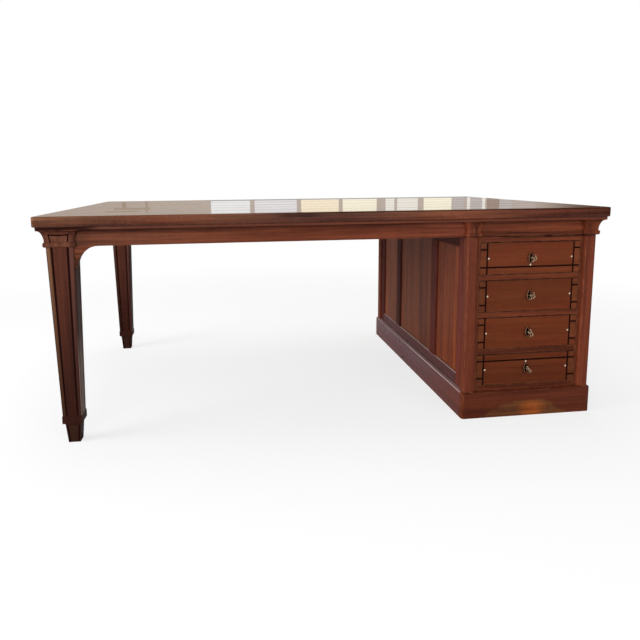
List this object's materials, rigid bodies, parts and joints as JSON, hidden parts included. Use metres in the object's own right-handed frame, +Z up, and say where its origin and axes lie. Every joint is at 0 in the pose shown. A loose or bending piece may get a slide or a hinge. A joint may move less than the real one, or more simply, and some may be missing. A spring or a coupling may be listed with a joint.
{
  "type": "partners desk",
  "caption": "Mahogany desk with a thick top on a coved frame, a plinth-based drawer pedestal at the right, tapered inlaid legs at the left, and locked drawers opening to both sides.",
  "frame": {"origin": "on the floor under the centre of the top", "axes": "+X along the desk towards the pedestal, +Z up, -Y towards the front seen in the picture"},
  "size_m": [1.97, 1.25, 0.77],
  "materials": {
    "mahogany": "gloss french polish",
    "inner_wood": "waxed",
    "ebony": "gloss french polish",
    "brass": "aged, softly polished",
    "steel": "filed"
  },
  "bodies": {
    "desk": {"table_top": "mahogany", "top_moulding": "mahogany", "aprons": "mahogany", "legs": "mahogany", "leg_stringing": "ebony", "capitals": "mahogany", "locating_pegs": "inner_wood", "pedestal_posts": "mahogany", "drawer_rails": "mahogany", "pedestal_sides": "mahogany", "plinth": "mahogany", "drawer_runners": "inner_wood"},
    "front_drawer_1": {"front_drawer_1_face": "mahogany", "front_drawer_1_box": "inner_wood", "front_drawer_1_stringing": "ebony", "front_drawer_1_lock": "brass"},
    "front_drawer_1_bolt": {"front_drawer_1_bolt": "steel"},
    "front_drawer_1_key": {"front_drawer_1_key": "brass"},
    "front_drawer_2": {"front_drawer_2_face": "mahogany", "front_drawer_2_box": "inner_wood", "front_drawer_2_stringing": "ebony", "front_drawer_2_lock": "brass"},
    "front_drawer_2_bolt": {"front_drawer_2_bolt": "steel"},
    "front_drawer_2_key": {"front_drawer_2_key": "brass"},
    "front_drawer_3": {"front_drawer_3_face": "mahogany", "front_drawer_3_box": "inner_wood", "front_drawer_3_stringing": "ebony", "front_drawer_3_lock": "brass"},
    "front_drawer_3_bolt": {"front_drawer_3_bolt": "steel"},
    "front_drawer_3_key": {"front_drawer_3_key": "brass"},
    "front_drawer_4": {"front_drawer_4_face": "mahogany", "front_drawer_4_box": "inner_wood", "front_drawer_4_stringing": "ebony", "front_drawer_4_lock": "brass"},
    "front_drawer_4_bolt": {"front_drawer_4_bolt": "steel"},
    "front_drawer_4_key": {"front_drawer_4_key": "brass"},
    "back_drawer_1": {"back_drawer_1_face": "mahogany", "back_drawer_1_box": "inner_wood", "back_drawer_1_stringing": "ebony", "back_drawer_1_lock": "brass"},
    "back_drawer_1_bolt": {"back_drawer_1_bolt": "steel"},
    "back_drawer_1_key": {"back_drawer_1_key": "brass"},
    "back_drawer_2": {"back_drawer_2_face": "mahogany", "back_drawer_2_box": "inner_wood", "back_drawer_2_stringing": "ebony", "back_drawer_2_lock": "brass"},
    "back_drawer_2_bolt": {"back_drawer_2_bolt": "steel"},
    "back_drawer_2_key": {"back_drawer_2_key": "brass"},
    "back_drawer_3": {"back_drawer_3_face": "mahogany", "back_drawer_3_box": "inner_wood", "back_drawer_3_stringing": "ebony", "back_drawer_3_lock": "brass"},
    "back_drawer_3_bolt": {"back_drawer_3_bolt": "steel"},
    "back_drawer_3_key": {"back_drawer_3_key": "brass"},
    "back_drawer_4": {"back_drawer_4_face": "mahogany", "back_drawer_4_box": "inner_wood", "back_drawer_4_stringing": "ebony", "back_drawer_4_lock": "brass"},
    "back_drawer_4_bolt": {"back_drawer_4_bolt": "steel"},
    "back_drawer_4_key": {"back_drawer_4_key": "brass"}
  },
  "joints": [
    {"name": "front_drawer_1_slide", "type": "slide", "parent": "desk", "child": "front_drawer_1", "axis": [0, -1, 0], "range_m": [0, 0.44]},
    {"name": "front_drawer_1_key_turn", "type": "hinge", "parent": "front_drawer_1", "child": "front_drawer_1_key", "pos_m": [0.7085, -0.581, 0.59], "axis": [0, 1, 0], "range_deg": [0, 90]},
    {"name": "front_drawer_1_bolt_lift", "type": "slide", "parent": "front_drawer_1", "child": "front_drawer_1_bolt", "axis": [0, 0, 1], "range_m": [0, 0.009]},
    {"name": "front_drawer_2_slide", "type": "slide", "parent": "desk", "child": "front_drawer_2", "axis": [0, -1, 0], "range_m": [0, 0.44]},
    {"name": "front_drawer_2_key_turn", "type": "hinge", "parent": "front_drawer_2", "child": "front_drawer_2_key", "pos_m": [0.7085, -0.581, 0.452], "axis": [0, 1, 0], "range_deg": [0, 90]},
    {"name": "front_drawer_2_bolt_lift", "type": "slide", "parent": "front_drawer_2", "child": "front_drawer_2_bolt", "axis": [0, 0, 1], "range_m": [0, 0.009]},
    {"name": "front_drawer_3_slide", "type": "slide", "parent": "desk", "child": "front_drawer_3", "axis": [0, -1, 0], "range_m": [0, 0.44]},
    {"name": "front_drawer_3_key_turn", "type": "hinge", "parent": "front_drawer_3", "child": "front_drawer_3_key", "pos_m": [0.7085, -0.581, 0.314], "axis": [0, 1, 0], "range_deg": [0, 90]},
    {"name": "front_drawer_3_bolt_lift", "type": "slide", "parent": "front_drawer_3", "child": "front_drawer_3_bolt", "axis": [0, 0, 1], "range_m": [0, 0.009]},
    {"name": "front_drawer_4_slide", "type": "slide", "parent": "desk", "child": "front_drawer_4", "axis": [0, -1, 0], "range_m": [0, 0.44]},
    {"name": "front_drawer_4_key_turn", "type": "hinge", "parent": "front_drawer_4", "child": "front_drawer_4_key", "pos_m": [0.7085, -0.581, 0.176], "axis": [0, 1, 0], "range_deg": [0, 90]},
    {"name": "front_drawer_4_bolt_lift", "type": "slide", "parent": "front_drawer_4", "child": "front_drawer_4_bolt", "axis": [0, 0, 1], "range_m": [0, 0.009]},
    {"name": "back_drawer_1_slide", "type": "slide", "parent": "desk", "child": "back_drawer_1", "axis": [0, 1, 0], "range_m": [0, 0.44]},
    {"name": "back_drawer_1_key_turn", "type": "hinge", "parent": "back_drawer_1", "child": "back_drawer_1_key", "pos_m": [0.7085, 0.581, 0.59], "axis": [0, -1, 0], "range_deg": [0, 90]},
    {"name": "back_drawer_1_bolt_lift", "type": "slide", "parent": "back_drawer_1", "child": "back_drawer_1_bolt", "axis": [0, 0, 1], "range_m": [0, 0.009]},
    {"name": "back_drawer_2_slide", "type": "slide", "parent": "desk", "child": "back_drawer_2", "axis": [0, 1, 0], "range_m": [0, 0.44]},
    {"name": "back_drawer_2_key_turn", "type": "hinge", "parent": "back_drawer_2", "child": "back_drawer_2_key", "pos_m": [0.7085, 0.581, 0.452], "axis": [0, -1, 0], "range_deg": [0, 90]},
    {"name": "back_drawer_2_bolt_lift", "type": "slide", "parent": "back_drawer_2", "child": "back_drawer_2_bolt", "axis": [0, 0, 1], "range_m": [0, 0.009]},
    {"name": "back_drawer_3_slide", "type": "slide", "parent": "desk", "child": "back_drawer_3", "axis": [0, 1, 0], "range_m": [0, 0.44]},
    {"name": "back_drawer_3_key_turn", "type": "hinge", "parent": "back_drawer_3", "child": "back_drawer_3_key", "pos_m": [0.7085, 0.581, 0.314], "axis": [0, -1, 0], "range_deg": [0, 90]},
    {"name": "back_drawer_3_bolt_lift", "type": "slide", "parent": "back_drawer_3", "child": "back_drawer_3_bolt", "axis": [0, 0, 1], "range_m": [0, 0.009]},
    {"name": "back_drawer_4_slide", "type": "slide", "parent": "desk", "child": "back_drawer_4", "axis": [0, 1, 0], "range_m": [0, 0.44]},
    {"name": "back_drawer_4_key_turn", "type": "hinge", "parent": "back_drawer_4", "child": "back_drawer_4_key", "pos_m": [0.7085, 0.581, 0.176], "axis": [0, -1, 0], "range_deg": [0, 90]},
    {"name": "back_drawer_4_bolt_lift", "type": "slide", "parent": "back_drawer_4", "child": "back_drawer_4_bolt", "axis": [0, 0, 1], "range_m": [0, 0.009]}
  ],
  "couplings": [
    {"joint": "front_drawer_1_key_turn", "follows": "front_drawer_1_bolt_lift", "rad_per_m": 174.5},
    {"joint": "front_drawer_2_key_turn", "follows": "front_drawer_2_bolt_lift", "rad_per_m": 174.5},
    {"joint": "front_drawer_3_key_turn", "follows": "front_drawer_3_bolt_lift", "rad_per_m": 174.5},
    {"joint": "front_drawer_4_key_turn", "follows": "front_drawer_4_bolt_lift", "rad_per_m": 174.5},
    {"joint": "back_drawer_1_key_turn", "follows": "back_drawer_1_bolt_lift", "rad_per_m": 174.5},
    {"joint": "back_drawer_2_key_turn", "follows": "back_drawer_2_bolt_lift", "rad_per_m": 174.5},
    {"joint": "back_drawer_3_key_turn", "follows": "back_drawer_3_bolt_lift", "rad_per_m": 174.5},
    {"joint": "back_drawer_4_key_turn", "follows": "back_drawer_4_bolt_lift", "rad_per_m": 174.5}
  ]
}
